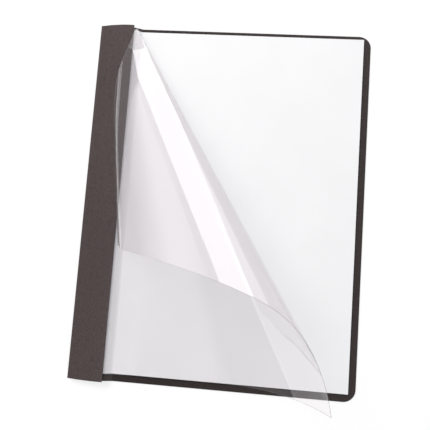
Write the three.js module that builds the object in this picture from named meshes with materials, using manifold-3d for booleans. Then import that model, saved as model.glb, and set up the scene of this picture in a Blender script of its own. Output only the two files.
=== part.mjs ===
// A report cover with a clear front, for punched letter sheets.
//
// The cover is one sheet of leather-grained card: a back panel, a spine and a narrow front strip. A clear
// film front hangs on the front strip and is curled back here, as when somebody looks at the first sheet.
// Three tang fasteners in the binding margin hold the sheets.
//
// Millimetres. While it is built, x runs from the spine to the free edge, y from the bottom of the page to
// its top, and z up from the table. The finished group has its origin at the middle of the back panel's
// underside.
import * as THREE from "three";
import { mergeVertices } from "three/addons/utils/BufferGeometryUtils.js";
import Module from "manifold-3d";

const wasm = await Module();
wasm.setup();

// Driving dimensions

const clearance = 0.3; // between pieces that touch or are glued together

const cover = {
  width: 223, // spine to free edge
  height: 289, // 11 3/8 in
  card: 0.7, // leather-grained card
  cornerRadius: 9.5, // the two free corners
  spineBend: 1.2, // inside radius where the back panel turns up into the spine
};

const sheets = {
  width: 215.9, // letter, 8 1/2 x 11 in
  height: 279.4,
  stack: 1.8, // eighteen sheets
  bottomMargin: 6.2, // from the cover's bottom edge
  spineMargin: 0.5, // from the inside of the spine
  holeRadius: 3.6, // 9/32 in punch
};

const strip = {
  width: 29, // 1 1/8 in
  card: 0.7,
  cornerChamfer: 1.6, // small cut at the spine end of each corner
};

const hump = {
  rise: 3.4, // how far the back panel is lifted at the strip's free edge
  crest: 27.5, // where it is highest, from the spine
  run: 8.5, // from the crest down to the flat panel
};

const binding = {
  from: 3.5, // edges of the reinforcing strip, from the spine
  to: 23.5,
  flange: 4, // glued width at each side
  card: 0.4,
  endMargin: 12, // from the cover's top and bottom edges
};

const fastener = {
  spacing: 107.95, // 4 1/4 in between centres, the three-hole standard
  fromSpine: 13.5,
  metal: 0.4,
  baseWidth: 7,
  baseLength: 26,
  tangWidth: 4,
  tangLength: 25, // folded part
};

const film = {
  thickness: 0.25,
  insideSheets: 0.3, // its free edge, from the sheets' free edge
  aboveSheets: 0.6, // its top edge, from the sheets' top edge
  marginFrom: 5, // the glued margin starts here, from the spine
  settle: 26, // width of sheet in which the film comes down from its hinge to the sheets
  curlAbove: 4, // the curl's lines start this far above the top edge
};

// The film is curled about straight lines that run across it. The lines start just above the hinge's top
// end, and from the fourth one on they start further and further to the right. Each stage gives how far to
// the right its line starts, as a share of the film's width, where it ends, as a share of the way along the
// bottom edge and then up the free edge, and how sharply the film bends there, in degrees for one stage.
const curl = [
  { start: 0, end: 0.189, bend: 86 },
  { start: 0, end: 0.401, bend: 34 },
  { start: 0, end: 0.545, bend: 51 },
  { start: 0, end: 0.633, bend: 49 },
  { start: 0.123, end: 0.868, bend: 41 },
  { start: 0.245, end: 0.886, bend: 33 },
  { start: 0.368, end: 0.903, bend: 14 },
  { start: 0.491, end: 0.965, bend: 0 },
];

// Facets

const filmColumns = 34; // across the film
const filmRows = 40; // along it
const humpFacets = 26; // from the spine to the foot of the hump
const stripFacets = 16; // across the front strip and the film's margin
const bindingFacets = 40; // across the binding strip, with its two narrow steps
const bendFacets = 5; // round the spine's bend
const arcFacets = 12; // for each quarter turn or hole

// Values that follow from them

const sheetsLeft = cover.card + sheets.spineMargin;
const sheetsOnPanel = cover.card + clearance; // height of the stack's underside on the flat panel
const fastenerBase = cover.card + clearance;
const bindingTop = fastenerBase + fastener.metal + clearance + binding.card;
const sheetsInMargin = bindingTop + clearance;
const tangUnder = sheetsInMargin + sheets.stack + clearance;
const filmMarginUnder = tangUnder + fastener.metal + clearance;
const stripUnder = filmMarginUnder + film.thickness + clearance;
const tangsFrom = fastener.fromSpine - fastener.baseWidth / 2; // the tangs lie on the sheets between these
const tangsTo = fastener.fromSpine + fastener.baseWidth / 2;
const edgeDrop = fastener.metal + clearance; // so the strip comes down by this much at its free edge
const spineDrop = stripUnder - (sheetsInMargin + sheets.stack + clearance); // and by this much at the spine
const foot = hump.crest + hump.run; // where the panel is flat again

const hingeX = strip.width + clearance;
const filmWidth = sheetsLeft + sheets.width - film.insideSheets - hingeX; // hinge to free edge
const filmHeight = sheets.height + film.aboveSheets;
const filmOnSheets = sheetsOnPanel + sheets.stack + clearance + film.thickness / 2;

// Heights across the page

const clamp01 = (t) => Math.min(1, Math.max(0, t));
const smooth = (t) => clamp01(t) ** 2 * (3 - 2 * clamp01(t));
const mix = (a, b, t) => a + (b - a) * t;

// Underside of the back panel: a smooth rise from the spine to the crest, then down to the table.
const rise = (x) =>
  hump.rise * (x < hump.crest ? smooth(x / hump.crest) : 1 - smooth((x - hump.crest) / hump.run));

// Underside of the stack: on the binding strip in the margin, on the panel past the hump.
const sheetsUnder = (x) => rise(x) + mix(sheetsInMargin, sheetsOnPanel, smooth((x - hump.crest) / hump.run));

// Underside of the front strip: lower at the spine and at its free edge, where no tangs lie.
const stripLow = (x) =>
  rise(x) +
  stripUnder -
  spineDrop * (1 - smooth(x / tangsFrom)) -
  edgeDrop * smooth((x - tangsTo) / (strip.width - tangsTo));
const filmMarginLow = (x) => stripLow(x) - clearance - film.thickness;

const hingeZ = filmMarginLow(strip.width) + film.thickness / 2;
const creaseZ = stripLow(0); // the crease between the spine and the front strip

// Solids

// A closed outline in x and z, carried along y from one end to the other.
function alongPage(outline, from, to) {
  const shape = new THREE.Shape(outline.map(([x, z]) => new THREE.Vector2(x, z)));
  const solid = new THREE.ExtrudeGeometry(shape, { depth: to - from, bevelEnabled: false, steps: 1 });
  // The extrusion runs along z with y up. Turned about x, it runs along -y with z up.
  return solid.rotateX(Math.PI / 2).translate(0, to, 0);
}

// The outline of a layer that lies on one height function and under another, between two places in x.
function layer(low, high, from, to, steps) {
  const xs = Array.from({ length: steps + 1 }, (_, i) => mix(from, to, i / steps));
  return [...xs.map((x) => [x, low(x)]), ...xs.reverse().map((x) => [x, high(x)])];
}

// A geometry as a manifold-3d solid, and back.
function toSolid(geometry) {
  const bare = geometry.clone();
  bare.deleteAttribute("normal");
  bare.deleteAttribute("uv");
  const merged = mergeVertices(bare, 1e-4);
  return new wasm.Manifold(
    new wasm.Mesh({
      numProp: 3,
      vertProperties: new Float32Array(merged.attributes.position.array),
      triVerts: new Uint32Array(merged.index.array),
    }),
  );
}

function toGeometry(solid) {
  const mesh = solid.getMesh();
  const geometry = new THREE.BufferGeometry();
  geometry.setAttribute("position", new THREE.BufferAttribute(mesh.vertProperties, 3));
  geometry.setIndex(new THREE.BufferAttribute(mesh.triVerts, 1));
  geometry.computeVertexNormals();
  return geometry;
}

// An upright prism over a plan outline, taller than the whole part: what cuts the sheets of card to shape.
const tall = 60;
function prism(shape) {
  const options = { depth: tall, bevelEnabled: false, curveSegments: arcFacets };
  const column = new THREE.ExtrudeGeometry(shape, options);
  return toSolid(column.translate(0, 0, -tall / 3));
}

function rectangle(x0, y0, x1, y1) {
  return new THREE.Shape([
    new THREE.Vector2(x0, y0),
    new THREE.Vector2(x1, y0),
    new THREE.Vector2(x1, y1),
    new THREE.Vector2(x0, y1),
  ]);
}

// Where the three fasteners are along the page.
const fastenerPlaces = {
  fastener_bottom: cover.height / 2 - fastener.spacing,
  fastener_middle: cover.height / 2,
  fastener_top: cover.height / 2 + fastener.spacing,
};

// Pieces

// The back panel's plan: square at the spine, round at the two free corners.
function backPlan() {
  const r = cover.cornerRadius;
  const plan = new THREE.Shape();
  plan.moveTo(-1, 0);
  plan.lineTo(cover.width - r, 0);
  plan.absarc(cover.width - r, r, r, -Math.PI / 2, 0, false);
  plan.lineTo(cover.width, cover.height - r);
  plan.absarc(cover.width - r, cover.height - r, r, 0, Math.PI / 2, false);
  plan.lineTo(-1, cover.height);
  return plan;
}

// One folded sheet: spine wall, round bend, hump and flat panel.
function backCover() {
  const t = cover.card;
  const outer = cover.spineBend + t;
  const top = creaseZ - clearance / 2;
  const bend = (radius, from, to) =>
    Array.from({ length: bendFacets + 1 }, (_, i) => {
      const a = mix(from, to, i / bendFacets);
      return [outer + radius * Math.cos(a), outer + radius * Math.sin(a)];
    });
  const xs = Array.from({ length: humpFacets + 1 }, (_, i) => mix(outer, foot, i / humpFacets));
  // Level with the table where the bend ends, and at the hump's full height at the crest.
  const low = (x) => rise(x) - rise(outer) * (1 - smooth((x - outer) / (hump.crest - outer)));
  const outline = [
    [0, top],
    ...bend(outer, Math.PI, 1.5 * Math.PI),
    ...xs.slice(1).map((x) => [x, low(x)]),
    [cover.width, 0],
    [cover.width, t],
    ...xs.slice(1).reverse().map((x) => [x, low(x) + t]),
    ...bend(cover.spineBend, 1.5 * Math.PI, Math.PI),
    [t, top],
  ];
  return toGeometry(toSolid(alongPage(outline, 0, cover.height)).intersect(prism(backPlan())));
}

// The front strip: a crowned flap from the crease to its free edge.
function frontStrip() {
  const high = (x) => stripLow(x) + strip.card;
  // Half the clearance above the crease, for the fold.
  const low = (x) => stripLow(x) + (clearance / 2) * (1 - smooth(x / binding.from));
  const c = strip.cornerChamfer;
  const plan = new THREE.Shape([
    new THREE.Vector2(-1, c),
    new THREE.Vector2(0, c),
    new THREE.Vector2(c, 0),
    new THREE.Vector2(strip.width + 1, 0),
    new THREE.Vector2(strip.width + 1, cover.height),
    new THREE.Vector2(c, cover.height),
    new THREE.Vector2(0, cover.height - c),
    new THREE.Vector2(-1, cover.height - c),
  ]);
  const solid = toSolid(alongPage(layer(low, high, 0, strip.width, stripFacets), 0, cover.height));
  return toGeometry(solid.intersect(prism(plan)));
}

// The punched stack of sheets, bent over the hump.
function paperSheets() {
  const right = sheetsLeft + sheets.width;
  const bent = Array.from({ length: humpFacets + 1 }, (_, i) => mix(sheetsLeft, foot, i / humpFacets));
  const outline = [
    ...bent.map((x) => [x, sheetsUnder(x)]),
    [right, sheetsOnPanel],
    [right, sheetsOnPanel + sheets.stack],
    ...bent.reverse().map((x) => [x, sheetsUnder(x) + sheets.stack]),
  ];
  const bottom = sheets.bottomMargin;
  let solid = toSolid(alongPage(outline, bottom, bottom + sheets.height));
  for (const y of Object.values(fastenerPlaces)) {
    const hole = new THREE.Shape().absarc(fastener.fromSpine, y, sheets.holeRadius, 0, 2 * Math.PI, false);
    solid = solid.subtract(prism(hole));
  }
  return toGeometry(solid);
}

// The reinforcing strip: glued along both sides, raised between them over the fasteners' bases.
function bindingStrip() {
  const raise = fastener.metal + clearance;
  const from = binding.from + binding.flange;
  const to = binding.to - binding.flange;
  const step = 1; // width of each sloping side
  const up = (x) => raise * (smooth((x - from + step) / step) - smooth((x - to) / step));
  const low = (x) => rise(x) + cover.card + clearance + up(x);
  const high = (x) => low(x) + binding.card;
  const y0 = binding.endMargin;
  const outline = layer(low, high, binding.from, binding.to, bindingFacets);
  let solid = toSolid(alongPage(outline, y0, cover.height - y0));
  // A slot at each fastener lets the two tangs through.
  const half = fastener.tangWidth / 2 + clearance;
  const long = fastener.metal + 2 * clearance;
  for (const y of Object.values(fastenerPlaces))
    solid = solid.subtract(
      prism(rectangle(fastener.fromSpine - half, y - long, fastener.fromSpine + half, y + long)),
    );
  return toGeometry(solid);
}

// One fastener: a base plate, and two tangs side by side up through the holes, folded flat up and down the
// page. It lies along the slope of the hump.
function tangFastener(y) {
  const x = fastener.fromSpine;
  const m = fastener.metal;
  const half = fastener.tangWidth / 2;
  const slope = (rise(tangsTo) - rise(tangsFrom)) / fastener.baseWidth;
  const slab = (halfWidth, y0, y1, low, high) => {
    const level = (z) => (at) => rise(x) + slope * (at - x) + z;
    return toSolid(alongPage(layer(level(low), level(high), x - halfWidth, x + halfWidth, 1), y0, y1));
  };
  const base = fastener.baseLength / 2;
  let solid = slab(fastener.baseWidth / 2, y - base, y + base, fastenerBase, fastenerBase + m);
  for (const side of [-1, 1]) {
    const foot = Math.min(y, y + side * m);
    solid = solid.add(slab(half, foot, foot + m, fastenerBase + m / 2, tangUnder + m));
    const tip = y + side * fastener.tangLength;
    const tang = slab(half, Math.min(y, tip), Math.max(y, tip), tangUnder, tangUnder + m);
    const roundEnd = new THREE.Shape();
    roundEnd.moveTo(x - half, y);
    roundEnd.lineTo(x - half, tip - side * half);
    roundEnd.absarc(x, tip - side * half, half, Math.PI, 0, side > 0);
    roundEnd.lineTo(x + half, y);
    roundEnd.closePath();
    solid = solid.add(tang.intersect(prism(roundEnd)));
  }
  return toGeometry(solid);
}

// The film's margin, glued under the front strip.
function filmMargin() {
  const y0 = sheets.bottomMargin;
  const high = (x) => filmMarginLow(x) + film.thickness;
  const outline = layer(filmMarginLow, high, film.marginFrom, strip.width, stripFacets);
  return alongPage(outline, y0, y0 + filmHeight);
}

// The curl. Every point of the flat film is turned about each line that it lies beyond, the nearest line to
// the hinge last, so the film keeps its size everywhere.
const filmTop = sheets.bottomMargin + filmHeight;
const turns = 168; // small turns that the whole curl is made of
const deg = Math.PI / 180;

// A value of the curl between its stages, for s from 0 at the first line to 1 at the last.
function atStage(key, s) {
  const place = clamp01(s) * (curl.length - 1);
  const i = Math.min(curl.length - 2, Math.floor(place));
  return mix(curl[i][key], curl[i + 1][key], place - i);
}

// The line of the curl at s: both ends in the flat film, u from the hinge and v down from the top edge.
function curlLine(s) {
  const end = atStage("end", s) * (filmWidth + filmHeight);
  const from = { u: atStage("start", s) * filmWidth, v: -film.curlAbove };
  const to =
    end < filmWidth ? { u: end, v: filmHeight } : { u: filmWidth, v: filmHeight - (end - filmWidth) };
  return { from, to };
}

const onTable = (u, v) => new THREE.Vector3(hingeX + u, filmTop - v, filmOnSheets);

// A turn by an angle about the line through two points.
function turnAbout(a, b, angle) {
  const axis = b.clone().sub(a).normalize();
  return new THREE.Matrix4()
    .makeTranslation(a.x, a.y, a.z)
    .multiply(new THREE.Matrix4().makeRotationAxis(axis, angle))
    .multiply(new THREE.Matrix4().makeTranslation(-a.x, -a.y, -a.z));
}

const curlLines = [];
const curlTurns = [new THREE.Matrix4()];
for (let k = 0; k < turns; k++) {
  const s = (k + 0.5) / turns;
  const { from, to } = curlLine(s);
  const angle = (atStage("bend", s) * (curl.length - 1) * deg) / turns;
  const turn = turnAbout(onTable(from.u, from.v), onTable(to.u, to.v), angle);
  curlLines.push({ from, to });
  curlTurns.push(curlTurns[k].clone().multiply(turn));
}

// How many of the curl's lines a point of the flat film lies beyond.
function linesBeyond(u, v) {
  const side = ({ from, to }) => (to.u - from.u) * (v - from.v) - (to.v - from.v) * (u - from.u);
  let low = 0;
  let high = turns;
  while (low < high) {
    const mid = (low + high) >> 1;
    if (side(curlLines[mid]) < 0) low = mid + 1;
    else high = mid;
  }
  return low;
}

// A point of the curled film. Near the hinge it is drawn to the hinge, which stays straight, and the part
// that has come back over it is lifted clear of the front strip.
const hingeLift = hingeZ - filmOnSheets;
const stripLift = stripLow(strip.width) + strip.card + 3 * clearance - hingeZ;

function curled(u, v) {
  const beyond = linesBeyond(u, v);
  const point = onTable(u, v).applyMatrix4(curlTurns[beyond]);
  const pull = 1 - smooth(u / film.settle);
  const back = smooth((2 * beyond) / turns);
  point.z += pull * (hingeLift + back * stripLift);
  return point;
}

// The film as a closed sheet: the curled surface moved half its thickness to each side, and its rim.
function clearCover() {
  const nu = filmColumns;
  const nv = filmRows;
  const near = 2; // a point this far away shows which way the surface faces
  const inSheet = (value, size) => Math.min(size, Math.max(0, value));
  const positions = [];
  for (const side of [1, -1])
    for (let i = 0; i <= nu; i++)
      for (let j = 0; j <= nv; j++) {
        const u = (filmWidth * i) / nu;
        const v = (filmHeight * j) / nv;
        const across = curled(inSheet(u + near, filmWidth), v).sub(curled(inSheet(u - near, filmWidth), v));
        const down = curled(u, inSheet(v + near, filmHeight)).sub(curled(u, inSheet(v - near, filmHeight)));
        const normal = down.cross(across).normalize();
        positions.push(...curled(u, v).addScaledVector(normal, (side * film.thickness) / 2).toArray());
      }
  const at = (side, i, j) => side * (nu + 1) * (nv + 1) + i * (nv + 1) + j;
  const index = [];
  const quad = (a, b, c, d) => index.push(a, b, c, a, c, d);
  for (let i = 0; i < nu; i++)
    for (let j = 0; j < nv; j++) {
      quad(at(0, i, j), at(0, i, j + 1), at(0, i + 1, j + 1), at(0, i + 1, j));
      quad(at(1, i, j), at(1, i + 1, j), at(1, i + 1, j + 1), at(1, i, j + 1));
    }
  for (let i = 0; i < nu; i++) {
    quad(at(0, i, 0), at(0, i + 1, 0), at(1, i + 1, 0), at(1, i, 0));
    quad(at(0, i + 1, nv), at(0, i, nv), at(1, i, nv), at(1, i + 1, nv));
  }
  for (let j = 0; j < nv; j++) {
    quad(at(0, 0, j + 1), at(0, 0, j), at(1, 0, j), at(1, 0, j + 1));
    quad(at(0, nu, j), at(0, nu, j + 1), at(1, nu, j + 1), at(1, nu, j));
  }
  const geometry = new THREE.BufferGeometry();
  geometry.setAttribute("position", new THREE.Float32BufferAttribute(positions, 3));
  geometry.setIndex(index);
  return geometry;
}

// Materials

const leatherCard = new THREE.MeshStandardMaterial({ color: 0x433a3a, roughness: 0.55, metalness: 0 });
const plainCard = new THREE.MeshStandardMaterial({ color: 0x3b3434, roughness: 0.8, metalness: 0 });
const paper = new THREE.MeshStandardMaterial({ color: 0xf5f6f8, roughness: 0.9, metalness: 0 });
const steel = new THREE.MeshStandardMaterial({ color: 0xc9ccd0, roughness: 0.3, metalness: 1 });
const clearFilm = new THREE.MeshStandardMaterial({
  color: 0xe6e4ea,
  roughness: 0.1,
  metalness: 0,
  transparent: true,
  opacity: 0.3,
  side: THREE.DoubleSide,
});

// Assembly

const page = new THREE.Group();
page.position.set(-cover.width / 2, -cover.height / 2, 0);

function add(name, geometry, material) {
  const mesh = new THREE.Mesh(geometry, material);
  mesh.name = name;
  page.add(mesh);
}

add("back_cover", backCover(), leatherCard);
add("binding_strip", bindingStrip(), plainCard);
for (const [name, y] of Object.entries(fastenerPlaces)) add(name, tangFastener(y), steel);
add("paper_sheets", paperSheets(), paper);
add("front_strip", frontStrip(), leatherCard);
add("clear_cover_margin", filmMargin(), clearFilm);
add("clear_cover", clearCover(), clearFilm);

const reportCover = new THREE.Group();
reportCover.add(page);

export default reportCover;
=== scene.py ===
"""A report cover with a clear film front, curled open over white sheets.

Everything is worked out on the page, in millimetres: x from the spine, y from the bottom of the page, z up
from the table. The page's middle is the model's origin, and meshes are written in metres.
"""

import math

import bmesh
import bpy
import numpy as np
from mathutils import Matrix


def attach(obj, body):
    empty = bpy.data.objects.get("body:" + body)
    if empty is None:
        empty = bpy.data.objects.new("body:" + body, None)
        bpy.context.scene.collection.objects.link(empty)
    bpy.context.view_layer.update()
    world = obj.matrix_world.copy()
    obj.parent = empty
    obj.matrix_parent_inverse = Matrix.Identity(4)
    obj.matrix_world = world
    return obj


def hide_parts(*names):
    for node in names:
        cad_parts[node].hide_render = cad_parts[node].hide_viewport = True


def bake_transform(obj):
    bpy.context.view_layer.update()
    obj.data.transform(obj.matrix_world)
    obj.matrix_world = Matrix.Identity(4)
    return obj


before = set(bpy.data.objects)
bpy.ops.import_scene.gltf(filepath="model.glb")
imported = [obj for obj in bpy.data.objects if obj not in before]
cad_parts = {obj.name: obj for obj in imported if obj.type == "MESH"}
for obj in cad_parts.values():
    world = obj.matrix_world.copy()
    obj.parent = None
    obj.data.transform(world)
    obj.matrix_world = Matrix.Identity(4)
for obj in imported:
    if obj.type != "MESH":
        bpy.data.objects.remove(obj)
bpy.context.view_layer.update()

# Sizes of the CAD model, repeated here in millimetres

CLEARANCE = 0.3  # between layers
WIDTH, HEIGHT = 223.0, 289.0  # the closed cover
CARD = 0.7  # thickness of the cover's card
CORNER = 9.5  # radius of the two free corners
BEND = 1.2  # inside radius where the panel turns up into the spine
CREASE = 1.0  # outside radius where the spine turns into the front strip
STRIP = 29.0  # width of the front strip
CHAMFER = 1.6  # small cut at the spine end of the strip's corners
HUMP, CREST, RUN = 3.4, 27.5, 8.5  # the hump's height, its crest from the spine and the way down from it
FOOT = CREST + RUN
TANGS_FROM, TANGS_TO = 10.0, 17.0  # the folded tangs lie between these
METAL, BINDING = 0.4, 0.4  # thickness of the fasteners and of the strip glued over them
SHEET_W, SHEET_H = 215.9, 279.4  # letter paper
SHEET_X, SHEET_Y = 1.2, 6.2  # its lower left corner
STACK, SHEETS = 1.8, 18  # height of the stack, and its sheets
HOLE, HOLE_X, HOLE_PITCH = 3.6, 13.5, 107.95  # radius of the punched holes, their place and spacing
FILM, FILM_W, FILM_H = 0.25, 187.5, 280.0  # thickness of the film, and its flat size beyond the hinge
FILM_TOP = SHEET_Y + FILM_H
MARGIN_FROM = 5.0  # where the film's margin starts under the strip
HINGE_X = STRIP + CLEARANCE

# Heights of the layers' undersides over the panel's underside

ON_PANEL = CARD + CLEARANCE
IN_MARGIN = ON_PANEL + METAL + BINDING + 2 * CLEARANCE
STRIP_UNDER = IN_MARGIN + STACK + METAL + FILM + 3 * CLEARANCE
SPINE_DROP = STRIP_UNDER - (IN_MARGIN + STACK + CLEARANCE)
EDGE_DROP = METAL + CLEARANCE
FILM_ON_SHEETS = ON_PANEL + STACK + CLEARANCE + FILM / 2

# The curl's stages: where the fold line starts, as a share of the film's width, where it ends, as a share of
# the way along the bottom edge and up the free edge, and the bend there, in degrees for one stage.
CURL = (
    (0, 0.189, 86),
    (0, 0.401, 34),
    (0, 0.545, 51),
    (0, 0.633, 49),
    (0.123, 0.868, 41),
    (0.245, 0.886, 33),
    (0.368, 0.903, 14),
    (0.491, 0.965, 0),
)
CURL_ABOVE = 4.0  # the fold lines start this far above the film's top edge
TURNS = 1344  # small turns that make up the curl
SETTLE = 26.0  # width in which the film comes down from its hinge to the sheets

# The soft film leans in over the strip, up to a plane: its x on the table at the page's bottom, and how much
# x changes for each millimetre of y and of z. The lean grows from one height, over another, and its rounding
# is the last value.
LEAN_X, LEAN_Y, LEAN_Z = 45.0, -0.136, 0.255
LEAN_FROM, LEAN_OVER, LEAN_ROUNDING = 12.0, 10.0, 3.0

# Camera: focal length and picture width in pixels, and sensor width in millimetres

FOCAL, PICTURE, SENSOR = 560, 430, 36


def make_camera():
    """The photograph's view, fitted to the outlines of the sheets, the panel and the strip."""
    data = bpy.data.cameras.new("camera")
    data.sensor_width = SENSOR
    data.lens = FOCAL / PICTURE * SENSOR
    data.clip_start = 0.01
    camera = bpy.data.objects.new("camera", data)
    camera.location = (0.03503, -0.05654, 0.44479)
    camera.rotation_euler = [math.radians(a) for a in (6.525, 4.683, 4.161)]
    bpy.context.scene.collection.objects.link(camera)
    bpy.context.scene.camera = camera


make_camera()

# Heights across the page


def smooth(t):
    """From 0 to 1, level at both ends."""
    t = np.clip(t, 0, 1)
    return t * t * (3 - 2 * t)


def rise(x):
    """The hump: up from the spine to the crest, then down to the table."""
    return HUMP * np.where(x < CREST, smooth(x / CREST), 1 - smooth((x - CREST) / RUN))


def sheets_under(x):
    """Underside of the stack of sheets: on the fasteners' strip in the margin, on the panel past the hump."""
    return rise(x) + IN_MARGIN + (ON_PANEL - IN_MARGIN) * smooth((x - CREST) / RUN)


def strip_low(x):
    """Underside of the front strip: lower at the crease and at its free edge than over the tangs."""
    at_spine = SPINE_DROP * (1 - smooth(x / TANGS_FROM))
    at_edge = EDGE_DROP * smooth((x - TANGS_TO) / (STRIP - TANGS_TO))
    return rise(x) + STRIP_UNDER - at_spine - at_edge


def panel_low(x):
    """Underside of the back panel: the hump, brought down to the table where the spine's bend ends."""
    start = BEND + CARD
    return rise(x) - rise(np.float64(start)) * (1 - smooth((x - start) / (CREST - start)))


# Meshes


def on_page(points):
    """Page millimetres as metres round the model's origin."""
    return (np.asarray(points, float) - (WIDTH / 2, HEIGHT / 2, 0)) / 1000


def new_mesh(name, points, faces):
    """A mesh from page points and faces, with its faces turned outwards."""
    mesh = bpy.data.meshes.new(name)
    mesh.from_pydata(on_page(points).tolist(), [], [list(f) for f in faces])
    work = bmesh.new()
    work.from_mesh(mesh)
    bmesh.ops.recalc_face_normals(work, faces=work.faces)
    work.to_mesh(mesh)
    work.free()
    return mesh


def shade(mesh, sharp_from):
    """Smooth shading, with edges kept sharp from an angle in degrees."""
    mesh.shade_smooth()
    mesh.set_sharp_from_angle(angle=math.radians(sharp_from))


def make_object(name, points, faces, materials, body, stands_for, slots_of_faces=None):
    """An object from page points and faces, on its body, in place of the CAD nodes that it stands for."""
    mesh = new_mesh(name, points, faces)
    for material in materials:
        mesh.materials.append(material)
    if slots_of_faces is not None:
        mesh.polygons.foreach_set("material_index", np.asarray(slots_of_faces, np.int32))
    shade(mesh, 40)
    piece = bpy.data.objects.new(name, mesh)
    bpy.context.scene.collection.objects.link(piece)
    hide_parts(*stands_for)
    if body:
        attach(piece, body)
    return piece


def closed_sheet(rows, columns):
    """Faces of a closed sheet. Its points are two grids, one for each side, and a rim joins their edges."""

    def at(side, i, j):
        return (side * rows + i) * columns + j

    i, j = (g.ravel() for g in np.meshgrid(np.arange(rows - 1), np.arange(columns - 1), indexing="ij"))
    faces = [
        np.stack([at(side, i, j), at(side, i + 1, j), at(side, i + 1, j + 1), at(side, i, j + 1)], 1)
        for side in (0, 1)
    ]
    i, j = np.arange(rows - 1), np.arange(columns - 1)
    for e in (0, columns - 1):
        faces.append(np.stack([at(0, i, e), at(0, i + 1, e), at(1, i + 1, e), at(1, i, e)], 1))
    for e in (0, rows - 1):
        faces.append(np.stack([at(0, e, j), at(0, e, j + 1), at(1, e, j + 1), at(1, e, j)], 1))
    return np.concatenate(faces)


def ribbon(one, other, y0, y1, steps):
    """Points and faces of a closed sheet. one and other are its two sides' stations in x and z, in pairs,
    and each station runs along the page from its y0 to its y1 in equal steps."""
    y = y0[:, None] + (y1 - y0)[:, None] * np.linspace(0, 1, steps + 1)
    sides = [np.stack([p[:, :1] + 0 * y, y, p[:, 1:] + 0 * y], -1).reshape(-1, 3) for p in (one, other)]
    return np.concatenate(sides), closed_sheet(len(one), steps + 1)


def arc(x, z, radius, start, end, steps):
    """Points in x and z round a centre, between two angles in degrees, without the first point."""
    turn = np.radians(np.linspace(start, end, steps + 1)[1:])
    return np.stack([x + radius * np.cos(turn), z + radius * np.sin(turn)], 1)


# Materials


def colour(code):
    """An sRGB hex code as linear red, green, blue and alpha."""
    parts = [int(code[i : i + 2], 16) / 255 for i in (0, 2, 4)]
    return [c / 12.92 if c < 0.04045 else ((c + 0.055) / 1.055) ** 2.4 for c in parts] + [1]


def grey(value):
    """A grey as linear red, green, blue and alpha."""
    return (value, value, value, 1)


def per_metre(size):
    """A pattern's scale, from the size of its grain in millimetres."""
    return 1000 / size


def add(tree, kind, inputs=None, stops=(), **settings):
    """A shader node with its settings. inputs gives values or output sockets by input name or number, and
    stops gives a ramp's places and colours."""
    node = tree.nodes.new(kind)
    for key, value in settings.items():
        setattr(node, key, value)
    for key, value in (inputs or {}).items():
        if isinstance(value, bpy.types.NodeSocket):
            tree.links.new(value, node.inputs[key])
        else:
            node.inputs[key].default_value = value
    for _ in range(len(stops) - 2):  # a new ramp has two
        node.color_ramp.elements.new(0.5)
    for k, (place, tint) in enumerate(stops):
        node.color_ramp.elements[k].position = place
        node.color_ramp.elements[k].color = tint
    return node


def new_material(name):
    """An empty material: the material, its tree, and its output node."""
    material = bpy.data.materials.new(name)
    material.use_nodes = True
    tree = material.node_tree
    tree.nodes.clear()
    return material, tree, add(tree, "ShaderNodeOutputMaterial")


def leatherette(name, dark, low, high):
    """Card with an embossed leather grain: shallow pebbles a little wider than tall, with finer wrinkles on
    them. It gives the eye a soft, broken sheen, and painted shade in the creases. dark is the colour of that
    painted shade, and low and high are the colours between the creases. Real pebbles are about half as wide,
    too fine to show here."""
    material, tree, out = new_material(name)
    place = add(tree, "ShaderNodeTexCoord").outputs["Object"]
    wander = add(tree, "ShaderNodeTexNoise", {"Vector": place, "Scale": per_metre(3.85), "Detail": 3.0})
    moved = add(
        tree,
        "ShaderNodeVectorMath",
        {0: wander.outputs["Color"], 1: (0.0016, 0.0012, 0.0016), 2: place},
        operation="MULTIPLY_ADD",
    )
    stretched = add(tree, "ShaderNodeMapping", {"Vector": moved.outputs[0], "Scale": (0.62, 1.25, 1.0)})
    pebbles = add(
        tree,
        "ShaderNodeTexVoronoi",
        {"Vector": stretched.outputs[0], "Scale": per_metre(1.11)},
        feature="DISTANCE_TO_EDGE",
    )
    creases = add(
        tree,
        "ShaderNodeValToRGB",
        {"Fac": pebbles.outputs["Distance"]},
        stops=[(0.0, grey(0)), (0.16, grey(0.75)), (0.45, grey(1))],
    ).outputs["Color"]
    fine = add(
        tree,
        "ShaderNodeTexNoise",
        {"Vector": stretched.outputs[0], "Scale": per_metre(0.385), "Detail": 2.0},
    )
    cloud = add(tree, "ShaderNodeTexNoise", {"Vector": place, "Scale": per_metre(71), "Detail": 3.0})
    height = add(
        tree, "ShaderNodeMath", {0: fine.outputs["Fac"], 1: 0.35, 2: creases}, operation="MULTIPLY_ADD"
    )
    bump = add(
        tree, "ShaderNodeBump", {"Height": height.outputs[0], "Strength": 0.55, "Distance": 0.00006}
    )
    body = add(
        tree,
        "ShaderNodeMix",
        {"Factor": cloud.outputs["Fac"], 6: colour(low), 7: colour(high)},
        data_type="RGBA",
    )
    # Painted shade: the creases are darkened towards the dark colour.
    tint = add(
        tree,
        "ShaderNodeMix",
        {"Factor": creases, 6: colour(dark), 7: body.outputs[2]},
        data_type="RGBA",
    )
    rough = add(tree, "ShaderNodeMapRange", {"Value": creases, "To Min": 0.62, "To Max": 0.44})
    shader = add(
        tree,
        "ShaderNodeBsdfPrincipled",
        {
            "Base Color": tint.outputs[2],
            "Roughness": rough.outputs[0],
            "Normal": bump.outputs[0],
            "Specular IOR Level": 0.25,
        },
    )
    tree.links.new(shader.outputs[0], out.inputs["Surface"])
    return material


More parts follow.
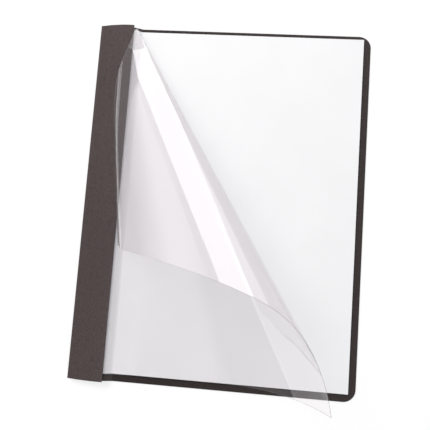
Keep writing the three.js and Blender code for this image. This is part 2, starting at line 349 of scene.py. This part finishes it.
def plain_card():
    """Uncoated card: matt and dark, with a faint fibre along the page."""
    material, tree, out = new_material("uncoated card")
    place = add(tree, "ShaderNodeTexCoord").outputs["Object"]
    along = add(tree, "ShaderNodeMapping", {"Vector": place, "Scale": (1.0, 0.35, 1.0)})
    fibre = add(
        tree,
        "ShaderNodeTexNoise",
        {"Vector": along.outputs[0], "Scale": per_metre(0.67), "Detail": 4.0},
    ).outputs["Fac"]
    tint = add(
        tree,
        "ShaderNodeValToRGB",
        {"Fac": fibre},
        stops=[(0.3, colour("352F2F")), (0.7, colour("463E3D"))],
    )
    bump = add(tree, "ShaderNodeBump", {"Height": fibre, "Strength": 0.4, "Distance": 0.00003})
    shader = add(
        tree,
        "ShaderNodeBsdfPrincipled",
        {"Base Color": tint.outputs["Color"], "Roughness": 0.85, "Normal": bump.outputs[0]},
    )
    tree.links.new(shader.outputs[0], out.inputs["Surface"])
    return material


def bond_paper():
    """White bond paper, calendered and uncoated: a faint cloudiness, the fibres' tooth, and no gloss."""
    material, tree, out = new_material("bond paper")
    place = add(tree, "ShaderNodeTexCoord").outputs["Object"]
    cloud = add(tree, "ShaderNodeTexNoise", {"Vector": place, "Scale": per_metre(45), "Detail": 4.0})
    tooth = add(tree, "ShaderNodeTexNoise", {"Vector": place, "Scale": per_metre(0.31), "Detail": 3.0})
    tint = add(
        tree,
        "ShaderNodeValToRGB",
        {"Fac": cloud.outputs["Fac"]},
        stops=[(0.3, colour("E5E5E6")), (0.7, colour("E8E8E9"))],
    )
    bump = add(
        tree, "ShaderNodeBump", {"Height": tooth.outputs["Fac"], "Strength": 0.25, "Distance": 0.00002}
    )
    shader = add(
        tree,
        "ShaderNodeBsdfPrincipled",
        {
            "Base Color": tint.outputs["Color"],
            "Roughness": 0.9,
            "Normal": bump.outputs[0],
            "Specular IOR Level": 0.0,
        },
    )
    tree.links.new(shader.outputs[0], out.inputs["Surface"])
    return material


def plated_steel():
    """Plated steel, stamped and brushed along the page: a bright metal with streaked glints."""
    material, tree, out = new_material("plated steel")
    place = add(tree, "ShaderNodeTexCoord").outputs["Object"]
    along = add(tree, "ShaderNodeMapping", {"Vector": place, "Scale": (1.0, 0.03, 1.0)})
    brush = add(
        tree,
        "ShaderNodeTexNoise",
        {"Vector": along.outputs[0], "Scale": per_metre(0.24), "Detail": 3.0},
    ).outputs["Fac"]
    tint = add(
        tree,
        "ShaderNodeValToRGB",
        {"Fac": brush},
        stops=[(0.3, colour("B9BCC0")), (0.7, colour("D4D6DA"))],
    )
    rough = add(tree, "ShaderNodeMapRange", {"Value": brush, "To Min": 0.24, "To Max": 0.4})
    bump = add(tree, "ShaderNodeBump", {"Height": brush, "Strength": 0.3, "Distance": 0.00001})
    shader = add(
        tree,
        "ShaderNodeBsdfPrincipled",
        {
            "Base Color": tint.outputs["Color"],
            "Metallic": 1.0,
            "Roughness": rough.outputs[0],
            "Normal": bump.outputs[0],
        },
    )
    tree.links.new(shader.outputs[0], out.inputs["Surface"])
    return material


def clear_film():
    """Clear vinyl film, calendered: mostly seen through, a little grey, with long soft ripples and a gloss
    that grows towards grazing angles. Lamps pass it more freely than the eye does, so that it leaves only a
    faint shadow."""
    material, tree, out = new_material("clear vinyl film")
    place = add(tree, "ShaderNodeTexCoord").outputs["Object"]
    path = add(tree, "ShaderNodeLightPath")
    through = add(tree, "ShaderNodeBsdfTransparent", {"Color": (0.977, 0.965, 0.968, 1)})
    ripple = add(tree, "ShaderNodeTexNoise", {"Vector": place, "Scale": per_metre(38), "Detail": 2.0})
    bump = add(
        tree, "ShaderNodeBump", {"Height": ripple.outputs["Fac"], "Strength": 0.06, "Distance": 0.0004}
    )
    gloss = add(
        tree, "ShaderNodeBsdfGlossy", {"Color": grey(1), "Roughness": 0.05, "Normal": bump.outputs[0]}
    )
    facing = add(tree, "ShaderNodeLayerWeight", {"Blend": 0.5}).outputs["Facing"]
    grazing = add(tree, "ShaderNodeMath", {0: facing, 1: 5.0}, operation="POWER")
    share = add(
        tree, "ShaderNodeMath", {0: grazing.outputs[0], 1: 0.9, 2: 0.045}, operation="MULTIPLY_ADD"
    )
    surface = add(
        tree, "ShaderNodeMixShader", {0: share.outputs[0], 1: through.outputs[0], 2: gloss.outputs[0]}
    )
    haze = add(tree, "ShaderNodeBsdfDiffuse", {"Color": colour("F4F2F6")})
    seen = add(tree, "ShaderNodeMixShader", {0: 0.02, 1: surface.outputs[0], 2: haze.outputs[0]})
    lit = add(
        tree,
        "ShaderNodeMath",
        {0: path.outputs["Is Shadow Ray"], 1: path.outputs["Is Diffuse Ray"]},
        operation="ADD",
    )
    freely = add(tree, "ShaderNodeBsdfTransparent", {"Color": (0.95, 0.948, 0.952, 1)})
    film = add(tree, "ShaderNodeMixShader", {0: lit.outputs[0], 1: seen.outputs[0], 2: freely.outputs[0]})
    tree.links.new(film.outputs[0], out.inputs["Surface"])
    return material


def film_edge():
    """The vinyl film's edge, sheared: light that runs inside the film is lost there, so it looks grey."""
    material, tree, out = new_material("sheared film edge")
    place = add(tree, "ShaderNodeTexCoord").outputs["Object"]
    nicks = add(tree, "ShaderNodeTexNoise", {"Vector": place, "Scale": per_metre(1.1), "Detail": 2.0})
    tint = add(
        tree,
        "ShaderNodeValToRGB",
        {"Fac": nicks.outputs["Fac"]},
        stops=[(0.3, colour("6E6A70")), (0.7, colour("8B878D"))],
    )
    shader = add(
        tree, "ShaderNodeBsdfPrincipled", {"Base Color": tint.outputs["Color"], "Roughness": 0.35}
    )
    tree.links.new(shader.outputs[0], out.inputs["Surface"])
    return material


LEATHER = leatherette("leatherette card", "3A3232", "483E3E", "584D4C")
# The inside's darker lining, which make_cover also puts on the cut edges as painted shade.
LINING_AND_EDGE_SHADE = leatherette("leatherette card, inside and painted edge shade", "1E1817", "2A2322", "352C2B")
PAPER, VINYL, VINYL_EDGE = bond_paper(), clear_film(), film_edge()

# Cover: back panel, spine and front strip are one folded sheet


def make_cover():
    """The folded sheet: a profile of outside and inside points in x and z, from the strip's free edge over
    the crease, down the spine, round its bend, over the hump and out to the free edge. It is carried along
    the page, and starts and ends where the corners are cut or rounded."""
    strip_points, hump_points, rows = 60, 110, 48
    softened = 0.00014  # metres, at the cut edges
    x = np.linspace(STRIP, CREASE, strip_points)
    out = [np.stack([x, strip_low(x) + CARD], 1)]
    inn = [np.stack([x, strip_low(x)], 1)]
    top = strip_low(np.float64(CREASE)) + CARD - CREASE
    out.append(arc(CREASE, top, CREASE, 90, 180, 9))
    inn.append(arc(CREASE, top, CREASE - CARD, 90, 180, 9))
    foot = BEND + CARD
    down = np.linspace(top, foot, 8)[1:]
    out.append(np.stack([0 * down, down], 1))
    inn.append(np.stack([0 * down + CARD, down], 1))
    out.append(arc(foot, foot, BEND + CARD, 180, 270, 11))
    inn.append(arc(foot, foot, BEND, 180, 270, 11))
    hump = np.linspace(foot, FOOT, hump_points)[1:]
    flat = np.linspace(FOOT, WIDTH - CORNER, 12)[1:]
    rounded = WIDTH - CORNER + CORNER * np.sin(np.radians(np.linspace(0, 90, 9)[1:]))
    x = np.concatenate([hump, flat, rounded])
    out.append(np.stack([x, panel_low(x)], 1))
    inn.append(np.stack([x, panel_low(x) + CARD], 1))
    out, inn = np.concatenate(out), np.concatenate(inn)
    # Cut corners at the crease, and quarter circles at the free edge.
    into = np.clip(out[:, 0] - (WIDTH - CORNER), 0, CORNER)
    y0 = CORNER - np.sqrt(CORNER**2 - into**2)
    on_strip = np.arange(len(out)) < strip_points
    y0 += np.where(on_strip, np.clip(CHAMFER - out[:, 0], 0, None), 0)
    points, faces = ribbon(out, inn, y0, HEIGHT - y0, rows)
    # The inside and the cut edges come after the outside's faces. The inside has the darker lining, and the
    # cut edges take it too as painted shade along the strip's free edge.
    lined_and_edge_shaded = np.arange(len(faces)) >= rows * (len(out) - 1)
    cover = make_object(
        "cover_card",
        points,
        faces,
        [LEATHER, LINING_AND_EDGE_SHADE],
        None,
        ["back_cover", "front_strip"],
        lined_and_edge_shaded,
    )
    bevel = cover.modifiers.new("cut edges", "BEVEL")
    bevel.width = softened
    bevel.segments = 2
    bevel.limit_method = "ANGLE"
    bevel.angle_limit = math.radians(50)
    bevel.harden_normals = True
    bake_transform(cover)


make_cover()

# Sheets


def make_punch():
    """Three round posts that cut the holes."""
    sides, height = 32, 20
    around = np.linspace(0, 2 * math.pi, sides + 1)[:-1]
    points, faces = [], []
    for k in (-1, 0, 1):
        first = len(points)
        for z in (0, height):
            points += [
                (HOLE_X + HOLE * math.cos(a), HEIGHT / 2 + k * HOLE_PITCH + HOLE * math.sin(a), z)
                for a in around
            ]
        low = list(range(first, first + sides))
        high = list(range(first + sides, first + 2 * sides))
        after = [(i + 1) % sides for i in range(sides)]
        faces += [[low[i], low[after[i]], high[after[i]], high[i]] for i in range(sides)]
        faces += [low[::-1], high]
    punch = bpy.data.objects.new("punch", new_mesh("punch", points, faces))
    bpy.context.scene.collection.objects.link(punch)
    return punch


def make_sheets():
    """Eighteen loose sheets. Each is a profile in x and z, the stack's underside raised by the sheets below,
    carried along the page. Each lies a little off its neighbours, the top one straight, and three holes are
    punched through them all."""
    loose = np.random.default_rng(7)
    slip, filled = 0.12, 0.86  # how far a sheet may lie off, and how much of its height is paper
    pitch = STACK / SHEETS
    x = np.concatenate([np.linspace(SHEET_X, FOOT, 70), np.linspace(FOOT, SHEET_X + SHEET_W, 5)[1:]])
    points, faces, count = [], [], 0
    for k in range(SHEETS):
        dx, dy = loose.uniform(-slip, slip, 2)
        if k == SHEETS - 1:
            dx, dy = 0, 0
        low = sheets_under(x) + k * pitch
        shifted = np.clip(x + dx, SHEET_X - 0.1, None)
        p, f = ribbon(
            np.stack([shifted, low], 1),
            np.stack([shifted, low + pitch * filled], 1),
            np.full(len(x), SHEET_Y + dy),
            np.full(len(x), SHEET_Y + SHEET_H + dy),
            2,
        )
        points.append(p)
        faces.append(f + count)
        count += len(p)
    points, faces = np.concatenate(points), np.concatenate(faces)
    sheets = make_object("sheets", points, faces, [PAPER], None, ["paper_sheets"])
    punch = make_punch()
    cut = sheets.modifiers.new("holes", "BOOLEAN")
    cut.object, cut.operation, cut.solver = punch, "DIFFERENCE", "MANIFOLD"
    done = bpy.data.meshes.new_from_object(sheets.evaluated_get(bpy.context.evaluated_depsgraph_get()))
    sheets.modifiers.clear()
    sheets.data = done
    bpy.data.objects.remove(punch)
    shade(done, 30)
    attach(sheets, "back")


make_sheets()

# Film


def turned_film(u, v):
    """Points of the curled film. The flat film lies on the sheets, u from the hinge and v down from its top
    edge. It is turned a little about each of a row of straight lines, all at once for the points beyond
    the line, the line nearest the hinge last. Near the hinge it is drawn up to the hinge's height, and the
    part that has come back over it is lifted clear of the strip. Last, it leans in up to the plane."""
    stages = len(CURL) - 1
    along = (np.arange(TURNS) + 0.5) / TURNS * stages
    start, end, bend = (np.interp(along, np.arange(stages + 1), [c[k] for c in CURL]) for k in range(3))
    end = end * (FILM_W + FILM_H)
    angle = np.radians(bend * stages / TURNS)
    from_u, from_v = start * FILM_W, np.full(TURNS, -CURL_ABOVE)
    to_u = np.minimum(end, FILM_W)
    to_v = np.where(end < FILM_W, FILM_H, FILM_H - (end - FILM_W))

    def flat(a, b):
        return np.stack([HINGE_X + a, FILM_TOP - b, np.full(np.shape(a), FILM_ON_SHEETS)], -1)

    one, other = flat(from_u, from_v), flat(to_u, to_v)
    axes = (other - one) / np.linalg.norm(other - one, axis=1)[:, None]
    rotation, offset = [np.eye(3)], [np.zeros(3)]
    for axis, point, a in zip(axes, one, angle):
        cross = np.array([[0, -axis[2], axis[1]], [axis[2], 0, -axis[0]], [-axis[1], axis[0], 0]])
        turn = np.eye(3) + math.sin(a) * cross + (1 - math.cos(a)) * cross @ cross
        offset.append(rotation[-1] @ (point - turn @ point) + offset[-1])
        rotation.append(rotation[-1] @ turn)
    rotation, offset = np.array(rotation), np.array(offset)
    beyond = np.zeros(u.shape, int)
    for k in range(TURNS):
        side = (to_u[k] - from_u[k]) * (v - from_v[k]) - (to_v[k] - from_v[k]) * (u - from_u[k])
        beyond += side < 0
    points = np.einsum("...ij,...j->...i", rotation[beyond], flat(u, v)) + offset[beyond]
    hinge = strip_low(np.float64(STRIP)) - CLEARANCE - FILM / 2
    back_lift = strip_low(np.float64(STRIP)) + CARD + 3 * CLEARANCE - hinge
    pull = 1 - smooth(u / SETTLE)
    points[..., 2] += pull * (hinge - FILM_ON_SHEETS + smooth(2 * beyond / TURNS) * back_lift)
    x, y, z = points[..., 0], points[..., 1], points[..., 2]
    plane = LEAN_X + LEAN_Y * y + LEAN_Z * z
    inside = (x - plane + np.hypot(x - plane, LEAN_ROUNDING)) / 2
    points[..., 0] += smooth((z - LEAN_FROM) / LEAN_OVER) * (plane + inside - x)
    return points


def make_film():
    """The curled film: a fine grid of the turned surface, moved by half its thickness to each side along
    its normals, and a rim."""
    columns, rows, reach = 176, 236, 0.2  # reach is how far it goes in towards its margin, flat
    u = np.concatenate([[-reach], np.linspace(0, FILM_W, columns)])
    u, v = np.meshgrid(u, np.linspace(0, FILM_H, rows + 1), indexing="ij")
    middle = turned_film(np.clip(u, 0, None), v)
    middle[0, :, 0] -= reach
    across, down = np.gradient(middle, axis=0), np.gradient(middle, axis=1)
    normal = np.cross(down, across)
    normal /= np.linalg.norm(normal, axis=-1)[..., None]
    points = np.concatenate([(middle + side * FILM / 2 * normal).reshape(-1, 3) for side in (1, -1)])
    faces = closed_sheet(columns + 1, rows + 1)
    on_rim = np.arange(len(faces)) >= 2 * columns * rows
    make_object(
        "film_cover", points, faces, [VINYL, VINYL_EDGE], "film", ["clear_cover"], on_rim
    )


def make_film_margin():
    """The film's margin, glued under the front strip: a profile that follows the strip's underside, carried
    along the page."""
    x = np.linspace(MARGIN_FROM, STRIP + 0.02, 50)
    low = strip_low(np.minimum(x, STRIP)) - CLEARANCE - FILM
    points, faces = ribbon(
        np.stack([x, low + FILM], 1),
        np.stack([x, low], 1),
        np.full(len(x), SHEET_Y),
        np.full(len(x), FILM_TOP),
        24,
    )
    make_object("film_margin", points, faces, [VINYL], "strip", ["clear_cover_margin"])


make_film()
make_film_margin()

# CAD nodes that keep their shape


def dress(material, *names):
    """Gives CAD nodes a material of the scene's own."""
    for name in names:
        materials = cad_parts[name].data.materials
        materials.clear()
        materials.append(material)


dress(plated_steel(), "fastener_bottom", "fastener_middle", "fastener_top")
dress(plain_card(), "binding_strip")

# Floor, world and lights


def make_floor():
    """A white studio floor. It keeps a faint shadow of the cover, and shines by itself to the eye, more so
    away from the cover, so that it stays white."""
    half, drop = 6, 0.0002  # metres
    material, tree, out = new_material("white studio floor")
    place = add(tree, "ShaderNodeTexCoord").outputs["Object"]
    away = add(tree, "ShaderNodeVectorMath", {0: place}, operation="LENGTH").outputs["Value"]
    power = add(
        tree,
        "ShaderNodeMapRange",
        {"Value": away, "From Min": 0.25, "From Max": 1.2, "To Min": 0.72, "To Max": 1.05},
    )
    path = add(tree, "ShaderNodeLightPath")
    seen = add(tree, "ShaderNodeMath", {0: 1.0, 1: path.outputs["Is Diffuse Ray"]}, operation="SUBTRACT")
    glow = add(tree, "ShaderNodeMath", {0: seen.outputs[0], 1: power.outputs[0]}, operation="MULTIPLY")
    shine = add(tree, "ShaderNodeEmission", {"Color": grey(1), "Strength": glow.outputs[0]})
    matt = add(tree, "ShaderNodeBsdfDiffuse", {"Color": grey(0.26)})
    both = add(tree, "ShaderNodeAddShader", {0: shine.outputs[0], 1: matt.outputs[0]})
    tree.links.new(both.outputs[0], out.inputs["Surface"])
    corners = [(x * half, y * half, -drop) for x, y in ((-1, -1), (1, -1), (1, 1), (-1, 1))]
    mesh = bpy.data.meshes.new("floor")
    mesh.from_pydata(corners, [], [(0, 1, 2, 3)])
    mesh.materials.append(material)
    floor = bpy.data.objects.new("floor", mesh)
    bpy.context.scene.collection.objects.link(floor)


def make_world():
    """An even white surround. A gloss sees it as a room: dark on the side of the spine, bright on the other
    and darker overhead."""
    world = bpy.data.worlds.new("studio")
    world.use_nodes = True
    tree = world.node_tree
    tree.nodes.clear()
    path = add(tree, "ShaderNodeLightPath")
    light = add(tree, "ShaderNodeBackground", {"Color": (0.97, 0.98, 1.0, 1), "Strength": 0.68})
    way = add(tree, "ShaderNodeTexCoord").outputs["Generated"]
    side = add(tree, "ShaderNodeVectorMath", {0: way, 1: (1.0, 0.4, 0.0)}, operation="DOT_PRODUCT")
    walls = add(
        tree,
        "ShaderNodeMapRange",
        {"Value": side.outputs["Value"], "From Min": -0.5, "From Max": -0.1, "To Min": 0.08, "To Max": 2.5},
    )
    height = add(tree, "ShaderNodeSeparateXYZ", {0: way}).outputs["Z"]
    ceiling = add(
        tree,
        "ShaderNodeMapRange",
        {"Value": height, "From Min": 0.8, "From Max": 0.93, "To Min": 1.0, "To Max": 0.3},
    )
    room = add(tree, "ShaderNodeMath", {0: walls.outputs[0], 1: ceiling.outputs[0]}, operation="MULTIPLY")
    mirrored = add(tree, "ShaderNodeBackground", {"Color": grey(1), "Strength": room.outputs[0]})
    seen = add(tree, "ShaderNodeBackground", {"Color": grey(1), "Strength": 1.05})
    mix = add(
        tree,
        "ShaderNodeMixShader",
        {0: path.outputs["Is Glossy Ray"], 1: light.outputs[0], 2: mirrored.outputs[0]},
    )
    mix = add(
        tree,
        "ShaderNodeMixShader",
        {0: path.outputs["Is Camera Ray"], 1: mix.outputs[0], 2: seen.outputs[0]},
    )
    add(tree, "ShaderNodeOutputWorld", {"Surface": mix.outputs[0]})
    bpy.context.scene.world = world


def make_key_light():
    """A square lamp high on the left, turned to the cover. No gloss shows it."""
    data = bpy.data.lights.new("key", "AREA")
    data.shape, data.size, data.energy, data.color = "SQUARE", 0.7, 18, (1, 0.985, 0.965)
    lamp = bpy.data.objects.new("key", data)
    x, y, z = -0.75, 0.65, 1.25
    lamp.location = (x, y, z)
    lamp.rotation_euler = (math.atan2(math.hypot(x, y), z), 0, math.atan2(y, x) + math.pi / 2)
    lamp.visible_glossy = False
    bpy.context.scene.collection.objects.link(lamp)


PANEL_Y = 1400  # the panels stand beyond the top of the page
# The white band along the curl is a leaning softbox. A grey flag lies along its upper side, and a black one
# beside it keeps the film dark where it leans over the strip. Corners in x and z.
BAND = [(-520, 580), (-290, 645), (-120, 740), (10, 835), (170, 970), (295, 1100), (560, 1420)]
UNDER_BAND = [(1200, 1000), (905, 695), (800, 530), (700, 300), (520, 5), (-400, 5)]
OVER_BAND = [(560, 1600), (95, 1190), (5, 1055), (-275, 800), (-520, 670)]
BESIDE_BAND = [(-2300, 5), (-400, 5), (-520, 580), (-520, 600), (-2300, 560)]


def make_panel(name, corners, power):
    """A flat panel that only a gloss shows."""
    material, tree, out = new_material(name + " cloth")
    path = add(tree, "ShaderNodeLightPath")
    glow = add(tree, "ShaderNodeMath", {0: path.outputs["Is Glossy Ray"], 1: power}, operation="MULTIPLY")
    shine = add(tree, "ShaderNodeEmission", {"Color": grey(1), "Strength": glow.outputs[0]})
    tree.links.new(shine.outputs[0], out.inputs["Surface"])
    material.cycles.emission_sampling = "NONE"
    mesh = bpy.data.meshes.new(name)
    points = on_page([(x, PANEL_Y, z) for x, z in corners])
    mesh.from_pydata(points.tolist(), [], [tuple(range(len(corners)))])
    mesh.materials.append(material)
    panel = bpy.data.objects.new(name, mesh)
    bpy.context.scene.collection.objects.link(panel)
    panel.visible_camera = panel.visible_diffuse = panel.visible_shadow = False


make_floor()
make_world()
make_key_light()
make_panel("softbox", BAND + UNDER_BAND, 4.5)
make_panel("flag", BAND + OVER_BAND, 2.0)
make_panel("black_flag", BESIDE_BAND, 0.15)
bpy.context.scene.view_settings.view_transform = "Standard"
